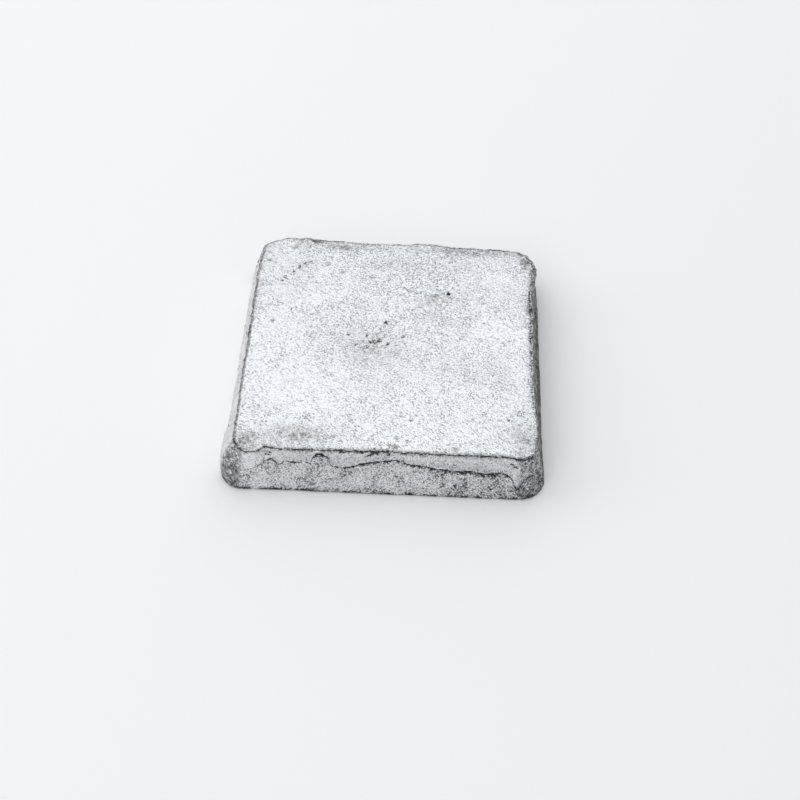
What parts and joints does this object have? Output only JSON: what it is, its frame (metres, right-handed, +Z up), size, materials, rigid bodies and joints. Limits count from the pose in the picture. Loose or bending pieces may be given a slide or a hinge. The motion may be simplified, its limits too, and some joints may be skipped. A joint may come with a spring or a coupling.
{
  "type": "metal ingot",
  "caption": "Square cast metal ingot with drafted walls, rounded corners and a wavy lap seam round its sides, for melting down, weighing or use as solid metal stock.",
  "frame": {"origin": "middle of the resting face, at floor level", "axes": "+Z up through the ingot's thickness; +X along the pictured front wall, to the right; +Y away from that wall"},
  "size_m": [0.0844, 0.0844, 0.013],
  "materials": {
    "cast_metal": "as cast: bright sandy upper face, duller walls, dark oxide in the seam and edges"
  },
  "bodies": {
    "root": {"ingot": "cast_metal"}
  },
  "joints": []
}
